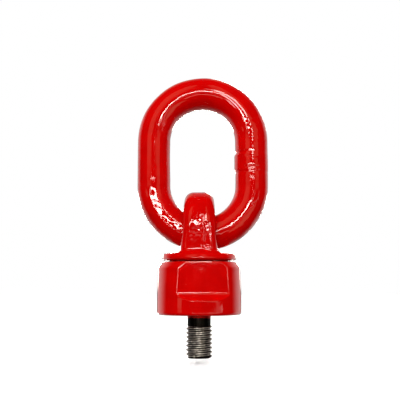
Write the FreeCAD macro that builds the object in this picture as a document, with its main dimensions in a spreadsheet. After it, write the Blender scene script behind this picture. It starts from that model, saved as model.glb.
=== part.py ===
"""Swivel hoist ring with an M8 stud: an oval lifting link in a forged swivel eye on a ball bearing.

The frame is +Z up along the stud and swivel axis, with the origin at the centre of the housing's
seat face. The stud reaches down from there. The link stands up in the XZ plane and turns about X.
"""

import FreeCAD, Part
import math
import os
import Sketcher

PARTS_FOLDER = "parts"

# Every driving size, in millimetres or degrees: alias, value, what it is.
SIZES = [
    ("stud_dia", 8.0, "major diameter of the M8 x 1.25 stud"),
    ("stud_reach", 12.8, "stud length below the seat"),
    ("stud_point", 0.7, "chamfer at the stud's end"),
    ("neck_relief", 0.5, "depth of the relief groove between thread and seat"),
    ("neck_length", 3.1, "height of that relief"),
    ("neck_fillet", 0.8, "fillet at the root of the relief"),
    ("head_sink", 0.2, "how far the stud's head sits above the seat plane"),
    ("head_thickness", 4.2, "threaded head of the stud"),
    ("head_step", 0.5, "shoulder between the head's bore and the cavity"),
    ("end_gap", 0.8, "space between the stud's head and the nut"),
    ("lock_pin_dia", 1.5, "pin that locks the head in the housing"),
    ("lock_pin_length", 7.5, "length of that pin"),
    ("lock_pin_height", 1.9, "its height above the seat"),
    ("lock_pin_offset", 4.6, "its distance sideways from the axis"),
    ("lock_pin_sink", 0.3, "how far its end lies below the housing's surface"),
    ("base_flare", 0.25, "how much wider the housing is at its foot"),
    ("base_height", 4.5, "height of the full round foot, up to the spanner flats"),
    ("flat_wall", 2.1, "wall left outside the cavity at a spanner flat"),
    ("ledge_radius", 2.1, "hollow radius at the foot of a flat"),
    ("roof_thickness", 3.0, "housing wall above the bearing"),
    ("bevel_width", 1.2, "top bevel, measured across"),
    ("bevel_drop", 1.7, "top bevel, measured down"),
    ("foot_round", 0.8, "rounding of the housing's lower edge"),
    ("flats_turn", 7.0, "rest angle of the housing about the swivel axis"),
    ("stem_dia", 8.0, "threaded lower stem that carries the nut"),
    ("journal_step", 0.45, "how much the journal above stands out from the stem"),
    ("bush_wall", 1.0, "wall of the journal bush"),
    ("running_gap", 0.05, "radial clearance of every running fit"),
    ("seal_land", 2.7, "from the bush to the dust seal's centre line"),
    ("seal_section", 1.2, "thickness of the dust seal"),
    ("seal_squeeze_room", 0.15, "extra width of the seal's groove on each side"),
    ("seal_lip", 0.2, "how far the seal stands above the housing"),
    ("ball_dia", 2.5, "bearing ball"),
    ("ball_count", 12, "number of balls"),
    ("ball_play", 0.02, "clearance between a ball and each raceway"),
    ("race_thickness", 0.9, "thickness of each race"),
    ("race_groove", 0.3, "depth of each raceway"),
    ("race_shoulder", 0.35, "race width beyond the balls on each side"),
    ("race_fit", 0.15, "clearance of a race in the cavity and on the journal"),
    ("cage_thickness", 1.2, "thickness of the ball cage"),
    ("cage_rim", 0.3, "cage width beyond its ball pockets on each side"),
    ("cage_play", 0.06, "clearance of a ball in its cage pocket"),
    ("nut_wall", 2.8, "wall of the round slotted nut"),
    ("nut_thickness", 3.8, "its thickness"),
    ("nut_slot_width", 2.0, "its spanner slots"),
    ("nut_slot_depth", 1.1, "depth of those slots"),
    ("nut_pin_dia", 1.6, "pin through nut and stem"),
    ("nut_pin_inset", 0.4, "how far the pin's ends lie inside the nut"),
    ("flange_gap", 0.3, "gap between flange and housing"),
    ("flange_inset", 0.1, "how far the flange lies inside the housing's top edge"),
    ("flange_land", 2.0, "flange width outside the loop"),
    ("flange_rim", 2.2, "height of the flange's rim"),
    ("flange_rise", 0.6, "rise of the flange's top towards the eye"),
    ("flange_crest_dia", 10.0, "where that rise ends"),
    ("rim_round", 0.6, "rounding of the flange's upper edge"),
    ("saddle", 2.25, "metal under the eye's hole, above the flange's underside"),
    ("eye_wall", 3.2, "metal at each side of the eye's hole"),
    ("eye_crown", 6.9, "metal above the eye's hole"),
    ("eye_top_width", 8.3, "width of the loop at its crown"),
    ("eye_foot_width", 11.6, "width of the loop at its foot"),
    ("eye_edge_round", 2.8, "rounding of the loop's outer edges"),
    ("eye_foot_fillet", 1.2, "fillet between loop and flange"),
    ("bell_ease", 1.0, "how much tighter the bell mouth bends than the link's inside"),
    ("bell_sweep", 320.0, "how far round the hole the bell mouth reaches"),
    ("link_bar_dia", 10.0, "round bar of the link"),
    ("link_inside_width", 20.0, "clear width inside the link"),
    ("link_inside_length", 34.0, "clear length inside the link"),
    ("link_gap", 1.0, "clearance between link and eye"),
    ("link_shift", 1.1, "how far the loose link rests off centre"),
    ("weld_length", 5.6, "welded zone on one leg of the link"),
    ("weld_bulge", 0.3, "how far the weld stands proud"),
]

# Heights above the seat, stacked from the stud's head up to the link.
HEAD_TOP = "(Sizes.head_sink + Sizes.head_thickness)"
NUT_FOOT = f"({HEAD_TOP} + Sizes.end_gap)"
NUT_TOP = f"({NUT_FOOT} + Sizes.nut_thickness)"
LOWER_RACE_TOP = f"({NUT_TOP} + Sizes.race_thickness)"
RACE_TO_BALL = "(Sizes.ball_dia / 2 - Sizes.race_groove + Sizes.ball_play)"
BALL_HEIGHT = f"({LOWER_RACE_TOP} + {RACE_TO_BALL})"
UPPER_RACE_FOOT = f"({BALL_HEIGHT} + {RACE_TO_BALL})"
CEILING = f"({UPPER_RACE_FOOT} + Sizes.race_thickness)"
HOUSING_TOP = f"({CEILING} + Sizes.roof_thickness)"
FLANGE_FOOT = f"({HOUSING_TOP} + Sizes.flange_gap)"
RIM_TOP = f"({FLANGE_FOOT} + Sizes.flange_rim)"
FLANGE_TOP = f"({RIM_TOP} + Sizes.flange_rise)"
THROAT_RADIUS = "(Sizes.link_bar_dia / 2 + Sizes.link_gap)"
PIVOT = f"({FLANGE_FOOT} + Sizes.saddle + {THROAT_RADIUS})"
EYE_TOP = f"({PIVOT} + {THROAT_RADIUS} + Sizes.eye_crown)"

# Radii from the swivel axis.
STEM_RADIUS = "(Sizes.stem_dia / 2)"
JOURNAL_RADIUS = f"({STEM_RADIUS} + Sizes.journal_step)"
BALL_CIRCLE = f"({JOURNAL_RADIUS} + Sizes.race_fit + Sizes.race_shoulder + Sizes.ball_dia / 2)"
UPPER_RACE_RADIUS = f"({BALL_CIRCLE} + Sizes.ball_dia / 2 + Sizes.race_shoulder)"
CAVITY_RADIUS = f"({UPPER_RACE_RADIUS} + Sizes.race_fit)"
HEAD_RADIUS = f"({CAVITY_RADIUS} + Sizes.head_step)"
FLAT_RADIUS = f"({CAVITY_RADIUS} + Sizes.flat_wall)"
EYE_REACH = f"({THROAT_RADIUS} + Sizes.eye_wall)"
FLANGE_RADIUS = f"({EYE_REACH} + Sizes.flange_land)"
HOUSING_TOP_RADIUS = f"({FLANGE_RADIUS} + Sizes.flange_inset)"
HOUSING_RADIUS = f"({HOUSING_TOP_RADIUS} + Sizes.bevel_width)"
BASE_RADIUS = f"({HOUSING_RADIUS} + Sizes.base_flare)"
BUSH_BORE = f"({JOURNAL_RADIUS} + Sizes.running_gap)"
BUSH_RADIUS = f"({BUSH_BORE} + Sizes.bush_wall)"
SEAL_CIRCLE = f"({BUSH_RADIUS} + Sizes.seal_land)"
NUT_RADIUS = f"({STEM_RADIUS} + Sizes.nut_wall)"
BELL_RADIUS = "(Sizes.link_inside_width / 2 - Sizes.bell_ease)"
LINK_BEND = "(Sizes.link_inside_width / 2 + Sizes.link_bar_dia / 2)"
NUT_PIN_HEIGHT = f"({NUT_FOOT} + Sizes.nut_thickness / 2)"


def fill_sheet(doc):
    """Write the driving sizes into the document's spreadsheet, one aliased cell each."""
    sheet = doc.addObject("Spreadsheet::Sheet", "Sizes")
    for row, (alias, value, note) in enumerate(SIZES, 1):
        sheet.set(f"A{row}", alias)
        sheet.set(f"B{row}", str(value))
        sheet.setAlias(f"B{row}", alias)
        sheet.set(f"C{row}", note)
    doc.recompute()
    return sheet


def number(sheet, expression):
    """The present value of an expression in the sheet's aliases."""
    return float(sheet.evalExpression(expression))


def bind(thing, **expressions):
    """Bind properties of an object to expressions in the sheet's aliases."""
    for name, expression in expressions.items():
        thing.setExpression(name.replace("__", "."), expression)
    return thing


def new_body(doc, label):
    """An empty PartDesign body with that label."""
    body = doc.addObject("PartDesign::Body", label)
    body.Label = label
    return body


def new_sketch(body, plane, name):
    """A sketch of the body on one of its own origin planes."""
    sketch = body.newObject("Sketcher::SketchObject", name)
    role = {"XY": "XY_Plane", "XZ": "XZ_Plane", "YZ": "YZ_Plane"}[plane]
    support = [f for f in body.Origin.OriginFeatures if f.Role == role][0]
    sketch.AttachmentSupport = [(support, "")]
    sketch.MapMode = "FlatFace"
    return sketch


def pin_point(sheet, sketch, geometry, point, across, up):
    """Fix a sketch point by two expressions, measured from the sketch's origin."""
    for kind, axis, expression in (("DistanceX", -2, across), ("DistanceY", -1, up)):
        value = number(sheet, expression)
        if abs(value) < 1e-9:
            sketch.addConstraint(Sketcher.Constraint("PointOnObject", geometry, point, axis))
            continue
        made = Sketcher.Constraint(kind, -1, 1, geometry, point, value)
        index = sketch.addConstraint(made)
        sketch.setExpression(f"Constraints[{index}]", expression)


def draw_polygon(sheet, sketch, corners):
    """A closed outline with a corner at each pair of expressions."""
    places = [
        FreeCAD.Vector(number(sheet, across), number(sheet, up), 0)
        for across, up in corners
    ]
    first = sketch.GeometryCount
    for here, there in zip(places, places[1:] + places[:1]):
        sketch.addGeometry(Part.LineSegment(here, there), False)
    for i in range(len(places)):
        after = (i + 1) % len(places)
        sketch.addConstraint(
            Sketcher.Constraint("Coincident", first + i, 2, first + after, 1)
        )
    for i, (across, up) in enumerate(corners):
        pin_point(sheet, sketch, first + i, 1, across, up)


def draw_circle(sheet, sketch, across, up, radius):
    """A circle placed and sized by expressions."""
    centre = FreeCAD.Vector(number(sheet, across), number(sheet, up), 0)
    circle = Part.Circle(centre, FreeCAD.Vector(0, 0, 1), number(sheet, radius))
    index = sketch.addGeometry(circle, False)
    pin_point(sheet, sketch, index, 3, across, up)
    made = Sketcher.Constraint("Radius", index, number(sheet, radius))
    sketch.setExpression(f"Constraints[{sketch.addConstraint(made)}]", radius)


def draw_arch(sheet, sketch, foot, spring, radius):
    """A round-topped arch, symmetric about the vertical axis, open side closed by a line."""
    low, high, wide = (number(sheet, e) for e in (foot, spring, radius))
    vector = FreeCAD.Vector
    crown = Part.Circle(vector(0, high, 0), vector(0, 0, 1), wide)
    left = sketch.addGeometry(Part.LineSegment(vector(-wide, low, 0), vector(-wide, high, 0)), False)
    arc = sketch.addGeometry(Part.ArcOfCircle(crown, 0, math.pi), False)
    right = sketch.addGeometry(Part.LineSegment(vector(wide, high, 0), vector(wide, low, 0)), False)
    sill = sketch.addGeometry(Part.LineSegment(vector(wide, low, 0), vector(-wide, low, 0)), False)
    for ends in ((left, 2, arc, 2), (arc, 1, right, 1), (right, 2, sill, 1), (sill, 2, left, 1)):
        sketch.addConstraint(Sketcher.Constraint("Coincident", *ends))
    pin_point(sheet, sketch, arc, 3, "0", spring)
    made = sketch.addConstraint(Sketcher.Constraint("Radius", arc, wide))
    sketch.setExpression(f"Constraints[{made}]", radius)
    for point in (1, 2):
        sketch.addConstraint(Sketcher.Constraint("Horizontal", arc, 3, arc, point))
    for side in (left, right):
        sketch.addConstraint(Sketcher.Constraint("Vertical", side))
    sketch.addConstraint(Sketcher.Constraint("Horizontal", sill))
    made = sketch.addConstraint(Sketcher.Constraint("DistanceY", -1, 1, sill, 1, low))
    sketch.setExpression(f"Constraints[{made}]", foot)


def turned(sheet, body, name, corners):
    """Revolve a closed outline of (radius, height) corners about the body's Z axis."""
    sketch = new_sketch(body, "XZ", name + "Profile")
    draw_polygon(sheet, sketch, corners)
    feature = body.newObject("PartDesign::Revolution", name)
    feature.Profile = sketch
    feature.ReferenceAxis = (sketch, ["V_Axis"])
    feature.Angle = 360
    return feature


def cut_through(body, sketch, name, length):
    """Pocket a sketch equally to both sides of its plane."""
    feature = body.newObject("PartDesign::Pocket", name)
    feature.Profile = sketch
    feature.Midplane = True
    return bind(feature, Length=length)


def turn_pattern(body, feature, name, count):
    """Repeat a feature evenly about the body's Z axis."""
    pattern = body.newObject("PartDesign::PolarPattern", name)
    pattern.Originals = [feature]
    axis = [f for f in body.Origin.OriginFeatures if f.Role == "Z_Axis"][0]
    pattern.Axis = (axis, [""])
    pattern.Angle = 360
    bind(pattern, Occurrences=count)
    body.Tip = pattern
    return pattern


def edges_where(feature, test):
    """Names of the feature's edges that pass a test of the edge."""
    return [f"Edge{i}" for i, e in enumerate(feature.Shape.Edges, 1) if test(e)]


def round_edges(body, feature, name, test, radius):
    """Fillet the edges of a feature that pass a test, by an expression."""
    body.Document.recompute()
    found = edges_where(feature, test)
    if not found:
        raise RuntimeError(f"{name}: no edge to round")
    fillet = body.newObject("PartDesign::Fillet", name)
    fillet.Base = (feature, found)
    return bind(fillet, Radius=radius)


def rim_at(height, radius):
    """A test for a full circle about Z at that height and radius."""

    def test(edge):
        round_edge = isinstance(edge.Curve, Part.Circle)
        return (
            round_edge
            and abs(edge.Curve.Radius - radius) < 1e-3
            and abs(edge.Curve.Center.z - height) < 1e-3
            and abs(edge.Curve.Axis.z) > 0.999
        )

    return test


def stand_with_base(thing):
    """Turn a piece with the housing to its rest angle."""
    thing.Placement.Rotation = FreeCAD.Rotation(FreeCAD.Vector(0, 0, 1), 1)
    bind(thing, Placement__Rotation__Angle="Sizes.flats_turn")


# ---------------------------------------------------------------- base: turns with the load


def make_housing(doc, sheet):
    """Round housing with two spanner flats, closed below by the stud's head."""
    body = new_body(doc, "housing")
    groove_half = "(Sizes.seal_section / 2 + Sizes.seal_squeeze_room)"
    groove_in, groove_out = f"({SEAL_CIRCLE} - {groove_half})", f"({SEAL_CIRCLE} + {groove_half})"
    groove_foot = f"({HOUSING_TOP} + Sizes.seal_lip - Sizes.seal_section)"
    shell = turned(
        sheet,
        body,
        "Shell",
        [
            (HEAD_RADIUS, "0"),
            (BASE_RADIUS, "0"),
            (HOUSING_RADIUS, f"{HOUSING_TOP} - Sizes.bevel_drop"),
            (HOUSING_TOP_RADIUS, HOUSING_TOP),
            (groove_out, HOUSING_TOP),
            (groove_out, groove_foot),
            (groove_in, groove_foot),
            (groove_in, HOUSING_TOP),
            (BUSH_RADIUS, HOUSING_TOP),
            (BUSH_RADIUS, CEILING),
            (CAVITY_RADIUS, CEILING),
            (CAVITY_RADIUS, HEAD_TOP),
            (HEAD_RADIUS, HEAD_TOP),
        ],
    )
    base_radius = number(sheet, BASE_RADIUS)
    foot = round_edges(body, shell, "FootRound", rim_at(0, base_radius), "Sizes.foot_round")
    flat = cut_flat(sheet, body)
    flats = turn_pattern(body, flat, "Flats", "2")
    bore_lock_pin(sheet, body, flats)
    stand_with_base(body)
    return body


def cut_flat(sheet, body):
    """The front spanner flat: everything outside a plane, down to a hollow at the foot."""
    sketch = new_sketch(body, "YZ", "FlatOutline")
    face, far = f"-{FLAT_RADIUS}", f"-({BASE_RADIUS} + 1)"
    ledge, hollow = "Sizes.base_height", "Sizes.ledge_radius"
    top = f"({HOUSING_TOP} + 1)"
    y, out, low, deep, high = (number(sheet, e) for e in (face, far, ledge, hollow, top))
    vector = FreeCAD.Vector
    centre = vector(y - deep, low + deep, 0)
    corner = Part.Circle(centre, vector(0, 0, 1), deep)
    wall = sketch.addGeometry(Part.LineSegment(vector(y, high, 0), vector(y, low + deep, 0)), False)
    arc = sketch.addGeometry(Part.ArcOfCircle(corner, -math.pi / 2, 0), False)
    shelf = sketch.addGeometry(Part.LineSegment(vector(y - deep, low, 0), vector(out, low, 0)), False)
    side = sketch.addGeometry(Part.LineSegment(vector(out, low, 0), vector(out, high, 0)), False)
    lid = sketch.addGeometry(Part.LineSegment(vector(out, high, 0), vector(y, high, 0)), False)
    joins = ((wall, 2, arc, 2), (arc, 1, shelf, 1), (shelf, 2, side, 1), (side, 2, lid, 1), (lid, 2, wall, 1))
    for ends in joins:
        sketch.addConstraint(Sketcher.Constraint("Coincident", *ends))
    for line, point, across, up in (
        (wall, 1, face, top),
        (wall, 2, face, f"{ledge} + {hollow}"),
        (shelf, 1, f"{face} - {hollow}", ledge),
        (side, 1, far, ledge),
        (lid, 1, far, top),
    ):
        pin_point(sheet, sketch, line, point, across, up)
    made = sketch.addConstraint(Sketcher.Constraint("Radius", arc, deep))
    sketch.setExpression(f"Constraints[{made}]", hollow)
    return cut_through(body, sketch, "Flat", f"2 * ({BASE_RADIUS} + 1)")


def make_stud(doc, sheet):
    """Stud with a threaded head: M8 thread at its major diameter, relief neck and chamfered end."""
    body = new_body(doc, "threaded_stud")
    stud = "(Sizes.stud_dia / 2)"
    neck = f"({stud} - Sizes.neck_relief)"
    shaft = turned(
        sheet,
        body,
        "Shaft",
        [
            ("0", "-Sizes.stud_reach"),
            (f"{stud} - Sizes.stud_point", "-Sizes.stud_reach"),
            (stud, "Sizes.stud_point - Sizes.stud_reach"),
            (stud, f"{neck} - {stud} - Sizes.neck_length"),
            (neck, "-Sizes.neck_length"),
            (neck, "Sizes.head_sink"),
            (HEAD_RADIUS, "Sizes.head_sink"),
            (HEAD_RADIUS, HEAD_TOP),
            ("0", HEAD_TOP),
        ],
    )
    root = rim_at(number(sheet, "Sizes.head_sink"), number(sheet, neck))
    rounded = round_edges(body, shaft, "NeckFillet", root, "Sizes.neck_fillet")
    bore_lock_pin(sheet, body, rounded)
    stand_with_base(body)
    return body


def lock_pin_sketch(sheet, body):
    """The lock pin's outline, at its inner end, facing outwards along +Y."""
    outer = f"sqrt({BASE_RADIUS} * {BASE_RADIUS} - Sizes.lock_pin_offset * Sizes.lock_pin_offset)"
    inner_end = f"({outer} - Sizes.lock_pin_sink - Sizes.lock_pin_length)"
    sketch = new_sketch(body, "XZ", "LockPinOutline")
    bind(sketch, AttachmentOffset__Base__z=f"-{inner_end}")
    radius = "Sizes.lock_pin_dia / 2"
    draw_circle(sheet, sketch, "Sizes.lock_pin_offset", "Sizes.lock_pin_height", radius)
    return sketch


def bore_lock_pin(sheet, body, before):
    """Cut the lock pin's bore outwards from its inner end."""
    sketch = lock_pin_sketch(sheet, body)
    bore = body.newObject("PartDesign::Pocket", "LockPinBore")
    bore.Profile = sketch
    bind(bore, Length=f"2 * {BASE_RADIUS}")
    body.Document.recompute()
    if bore.Shape.Volume > before.Shape.Volume - 0.1:
        raise RuntimeError(f"{body.Label}: the lock pin's bore cut nothing")


def make_lock_pin(doc, sheet):
    """Pin that goes through the housing's foot into the stud's head."""
    body = new_body(doc, "stud_lock_pin")
    pad = body.newObject("PartDesign::Pad", "Pin")
    pad.Profile = lock_pin_sketch(sheet, body)
    pad.Reversed = True
    bind(pad, Length="Sizes.lock_pin_length")
    stand_with_base(body)
    return body


def make_ring(doc, label, inner, outer, foot, top):
    """A plain ring about Z between two radii and two heights, all expressions."""
    ring = doc.addObject("Part::Cut", label)
    pieces = []
    for part, radius in (("Outside", outer), ("Inside", inner)):
        cylinder = doc.addObject("Part::Cylinder", label + part)
        bind(cylinder, Radius=radius, Height=f"{top} - {foot}", Placement__Base__z=foot)
        pieces.append(cylinder)
    ring.Base, ring.Tool = pieces
    return ring


def make_race(doc, label, inner, outer, foot, top):
    """A bearing race: a ring with a raceway that the balls run in."""
    ring = make_ring(doc, label + "Blank", inner, outer, foot, top)
    track = doc.addObject("Part::Torus", label + "Track")
    bind(
        track,
        Radius1=BALL_CIRCLE,
        Radius2="Sizes.ball_dia / 2 + Sizes.ball_play",
        Placement__Base__z=BALL_HEIGHT,
    )
    race = doc.addObject("Part::Cut", label)
    race.Base, race.Tool = ring, track
    return race


def make_dust_seal(doc):
    """Rubber ring in the housing's top groove, just under the flange."""
    seal = doc.addObject("Part::Torus", "dust_seal")
    bind(
        seal,
        Radius1=SEAL_CIRCLE,
        Radius2="Sizes.seal_section / 2",
        Placement__Base__z=f"{HOUSING_TOP} + Sizes.seal_lip - Sizes.seal_section / 2",
    )
    return seal


# ---------------------------------------------------------------- ball set: rolls between the races


def make_cage(doc, sheet):
    """Flat cage with one round pocket for each ball."""
    body = new_body(doc, "ball_cage")
    half = "Sizes.cage_thickness / 2"
    reach = "(Sizes.ball_dia / 2 + Sizes.cage_play + Sizes.cage_rim)"
    inner, outer = f"{BALL_CIRCLE} - {reach}", f"{BALL_CIRCLE} + {reach}"
    foot, top = f"{BALL_HEIGHT} - {half}", f"{BALL_HEIGHT} + {half}"
    turned(sheet, body, "Ring", [(inner, foot), (outer, foot), (outer, top), (inner, top)])
    sketch = new_sketch(body, "XY", "PocketOutline")
    draw_circle(sheet, sketch, BALL_CIRCLE, "0", "Sizes.ball_dia / 2 + Sizes.cage_play")
    pocket = cut_through(body, sketch, "Pocket", f"2 * ({top}) + 2")
    turn_pattern(body, pocket, "Pockets", "Sizes.ball_count")
    return body


def make_balls(doc, sheet):
    """The balls, one object each, evenly round the ball circle."""
    count = round(number(sheet, "Sizes.ball_count"))
    balls = []
    for i in range(count):
        ball = doc.addObject("Part::Sphere", f"ball_{i + 1:02d}")
        turn = f"({i} * 360 / Sizes.ball_count)"
        bind(
            ball,
            Radius="Sizes.ball_dia / 2",
            Placement__Base__x=f"{BALL_CIRCLE} * cos({turn})",
            Placement__Base__y=f"{BALL_CIRCLE} * sin({turn})",
            Placement__Base__z=BALL_HEIGHT,
        )
        balls.append(ball)
    return balls


# ---------------------------------------------------------------- eye: forged loop, flange and stem


def make_eye(doc, sheet):
    """Forged eye: a loop on a round flange, with a stem that runs in the housing."""
    body = new_body(doc, "swivel_eye")
    raise_loop(sheet, body)
    crest = "(Sizes.flange_crest_dia / 2)"
    flange = turned(
        sheet,
        body,
        "FlangeAndStem",
        [
            ("0", NUT_FOOT),
            (STEM_RADIUS, NUT_FOOT),
            (STEM_RADIUS, f"{UPPER_RACE_FOOT} + Sizes.race_thickness / 2"),
            (JOURNAL_RADIUS, f"{UPPER_RACE_FOOT} + Sizes.race_thickness / 2"),
            (JOURNAL_RADIUS, FLANGE_FOOT),
            (FLANGE_RADIUS, FLANGE_FOOT),
            (FLANGE_RADIUS, RIM_TOP),
            (crest, FLANGE_TOP),
            ("0", FLANGE_TOP),
        ],
    )
    rim = rim_at(number(sheet, RIM_TOP), number(sheet, FLANGE_RADIUS))
    rounded = round_edges(body, flange, "RimRound", rim, "Sizes.rim_round")
    footed = round_loop_foot(sheet, body, rounded)
    cut_bell_mouth(sheet, body, footed)
    pin_sketch = new_sketch(body, "YZ", "NutPinHole")
    draw_circle(sheet, pin_sketch, "0", NUT_PIN_HEIGHT, "Sizes.nut_pin_dia / 2")
    cut_through(body, pin_sketch, "NutPinBore", "Sizes.stem_dia + 2")
    return body


def raise_loop(sheet, body):
    """Pad the loop's side outline, trim its cheeks to a taper and round its outer edges."""
    outline = new_sketch(body, "YZ", "LoopOutline")
    foot = f"({FLANGE_FOOT} + Sizes.flange_rim / 2)"
    draw_arch(sheet, outline, foot, f"({EYE_TOP} - {EYE_REACH})", EYE_REACH)
    pad = body.newObject("PartDesign::Pad", "Loop")
    pad.Profile = outline
    pad.Midplane = True
    bind(pad, Length="Sizes.eye_foot_width")
    cheeks = new_sketch(body, "XZ", "CheekOutline")
    wide, narrow = "(Sizes.eye_foot_width / 2)", "(Sizes.eye_top_width / 2)"
    top, far = f"({EYE_TOP} + 1)", "(Sizes.eye_foot_width / 2 + 1)"
    for side in ("1", "-1"):
        corners = [(wide, foot), (far, foot), (far, top), (narrow, top)]
        draw_polygon(sheet, cheeks, [(f"{side} * {x}", z) for x, z in corners])
    trimmed = cut_through(body, cheeks, "Cheeks", f"2 * {FLANGE_RADIUS} + 2")
    low = number(sheet, foot)

    def outer_edge(edge):
        """An edge between the loop's rim face and one of its cheeks."""
        box = edge.BoundBox
        return box.ZMax > low + 1 and min(abs(box.XMin), abs(box.XMax)) > 1

    return round_edges(body, trimmed, "LoopRound", outer_edge, "Sizes.eye_edge_round")


def round_loop_foot(sheet, body, before):
    """Fillet the loop's foot on the flange."""
    body.Document.recompute()
    flange_top, reach = number(sheet, FLANGE_TOP), number(sheet, EYE_REACH)
    half_width = number(sheet, "Sizes.eye_foot_width / 2")
    rim_start = number(sheet, f"{FLANGE_RADIUS} - Sizes.rim_round")

    def foot_edge(edge):
        """An edge where the loop stands on the flange's top."""
        box = edge.BoundBox
        low = box.ZMax < flange_top + 0.6 and box.ZMin > flange_top - 1.6
        across = max(abs(box.XMin), abs(box.XMax)) < half_width + 0.3
        along = max(abs(box.YMin), abs(box.YMax)) < reach + 0.3
        ring = isinstance(edge.Curve, Part.Circle) and edge.Curve.Radius > rim_start - 0.1
        return low and across and along and not ring

    return round_edges(body, before, "LoopFoot", foot_edge, "Sizes.eye_foot_fillet")


def cut_bell_mouth(sheet, body, before):
    """Cut the eye's hole: a bell mouth over the link's travel and a plain bore below it."""
    sketch = new_sketch(body, "XZ", "BellProfile")
    reach, bell = "(Sizes.eye_foot_width / 2 + 0.6)", BELL_RADIUS
    centre = f"({PIVOT} + {THROAT_RADIUS} + {bell})"
    x, axis, radius, high = (number(sheet, e) for e in (reach, PIVOT, bell, centre))
    drop = high - math.sqrt(radius * radius - x * x)
    lip = f"({centre} - sqrt({bell} * {bell} - {reach} * {reach}))"
    vector = FreeCAD.Vector
    start = math.atan2(drop - high, -x)
    end = math.atan2(drop - high, x)
    curve = Part.Circle(vector(0, high, 0), vector(0, 0, 1), radius)
    left = sketch.addGeometry(Part.LineSegment(vector(-x, axis, 0), vector(-x, drop, 0)), False)
    arc = sketch.addGeometry(Part.ArcOfCircle(curve, start, end), False)
    right = sketch.addGeometry(Part.LineSegment(vector(x, drop, 0), vector(x, axis, 0)), False)
    base = sketch.addGeometry(Part.LineSegment(vector(x, axis, 0), vector(-x, axis, 0)), False)
    for ends in ((left, 2, arc, 1), (arc, 2, right, 1), (right, 2, base, 1), (base, 2, left, 1)):
        sketch.addConstraint(Sketcher.Constraint("Coincident", *ends))
    pin_point(sheet, sketch, left, 1, f"-{reach}", PIVOT)
    pin_point(sheet, sketch, right, 2, reach, PIVOT)
    pin_point(sheet, sketch, left, 2, f"-{reach}", lip)
    pin_point(sheet, sketch, right, 1, reach, lip)
    made = sketch.addConstraint(Sketcher.Constraint("Radius", arc, radius))
    sketch.setExpression(f"Constraints[{made}]", bell)
    mouth = body.newObject("PartDesign::Groove", "BellMouth")
    mouth.Profile = sketch
    mouth.ReferenceAxis = (sketch, [f"Edge{base + 1}"])
    mouth.Midplane = True
    bind(mouth, Angle="Sizes.bell_sweep")
    bore_sketch = new_sketch(body, "YZ", "ThroatOutline")
    draw_circle(sheet, bore_sketch, "0", PIVOT, THROAT_RADIUS)
    cut_through(body, bore_sketch, "Throat", f"2 * {FLANGE_RADIUS} + 2")
    body.Document.recompute()
    if mouth.Shape.Volume > before.Shape.Volume - 1:
        raise RuntimeError("the bell mouth cut nothing")


def make_nut(doc, sheet):
    """Round slotted nut on the stem, with a cross hole for its pin."""
    body = new_body(doc, "retaining_nut")
    outer = NUT_RADIUS
    corners = [(STEM_RADIUS, NUT_FOOT), (outer, NUT_FOOT), (outer, NUT_TOP), (STEM_RADIUS, NUT_TOP)]
    turned(sheet, body, "Nut", corners)
    slot_sketch = new_sketch(body, "XZ", "SlotOutline")
    inner, half = f"{outer} - Sizes.nut_slot_depth", f"{outer} + 1"
    low, high = f"{NUT_FOOT} - 1", f"{NUT_TOP} + 1"
    draw_polygon(sheet, slot_sketch, [(inner, low), (half, low), (half, high), (inner, high)])
    slot = cut_through(body, slot_sketch, "Slot", "Sizes.nut_slot_width")
    turn_pattern(body, slot, "Slots", "4")
    pin_sketch = new_sketch(body, "XZ", "NutPinHole")
    draw_circle(sheet, pin_sketch, "0", NUT_PIN_HEIGHT, "Sizes.nut_pin_dia / 2")
    cut_through(body, pin_sketch, "NutPinBore", f"2 * {NUT_RADIUS} + 2")
    body.Placement.Rotation = FreeCAD.Rotation(FreeCAD.Vector(0, 0, 1), 90)
    return body


def make_nut_pin(doc):
    """Pin through the nut and the stem."""
    pin = doc.addObject("Part::Cylinder", "nut_pin")
    length = f"(2 * {NUT_RADIUS} - 2 * Sizes.nut_pin_inset)"
    pin.Placement.Rotation = FreeCAD.Rotation(FreeCAD.Vector(0, 1, 0), 90)
    bind(
        pin,
        Radius="Sizes.nut_pin_dia / 2",
        Height=length,
        Placement__Base__x=f"-{length} / 2",
        Placement__Base__z=NUT_PIN_HEIGHT,
    )
    return pin


# ---------------------------------------------------------------- link


def make_link(doc):
    """Oval link: two half rings, two legs, and the weld on its right leg."""
    bar, bend = "Sizes.link_bar_dia / 2", LINK_BEND
    leg = "(Sizes.link_inside_length - Sizes.link_inside_width)"
    lower = f"({PIVOT} + {bend})"
    pieces = []
    for name, height, start in (("LinkFoot", lower, 180), ("LinkCrown", f"{lower} + {leg}", 0)):
        half = doc.addObject("Part::Torus", name)
        half.Placement.Rotation = FreeCAD.Rotation(FreeCAD.Vector(1, 0, 0), 90)
        half.Angle3 = 180
        bind(half, Radius1=bend, Radius2=bar, Placement__Base__z=height)
        bind(half, Placement__Base__x="Sizes.link_shift")
        if start:
            turn = FreeCAD.Rotation(FreeCAD.Vector(0, 1, 0), 180)
            half.Placement.Rotation = turn.multiply(half.Placement.Rotation)
        pieces.append(half)
    for name, side in (("LeftLeg", "-"), ("RightLeg", "")):
        straight = doc.addObject("Part::Cylinder", name)
        bind(straight, Radius=bar, Height=leg, Placement__Base__z=lower)
        bind(straight, Placement__Base__x=f"Sizes.link_shift + {side}1 * {bend}")
        pieces.append(straight)
    pieces += make_weld(doc, bar, bend, f"{lower} + {leg} / 2")
    link = doc.addObject("Part::MultiFuse", "oval_link")
    link.Shapes = pieces
    link.Refine = True
    return link


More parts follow.
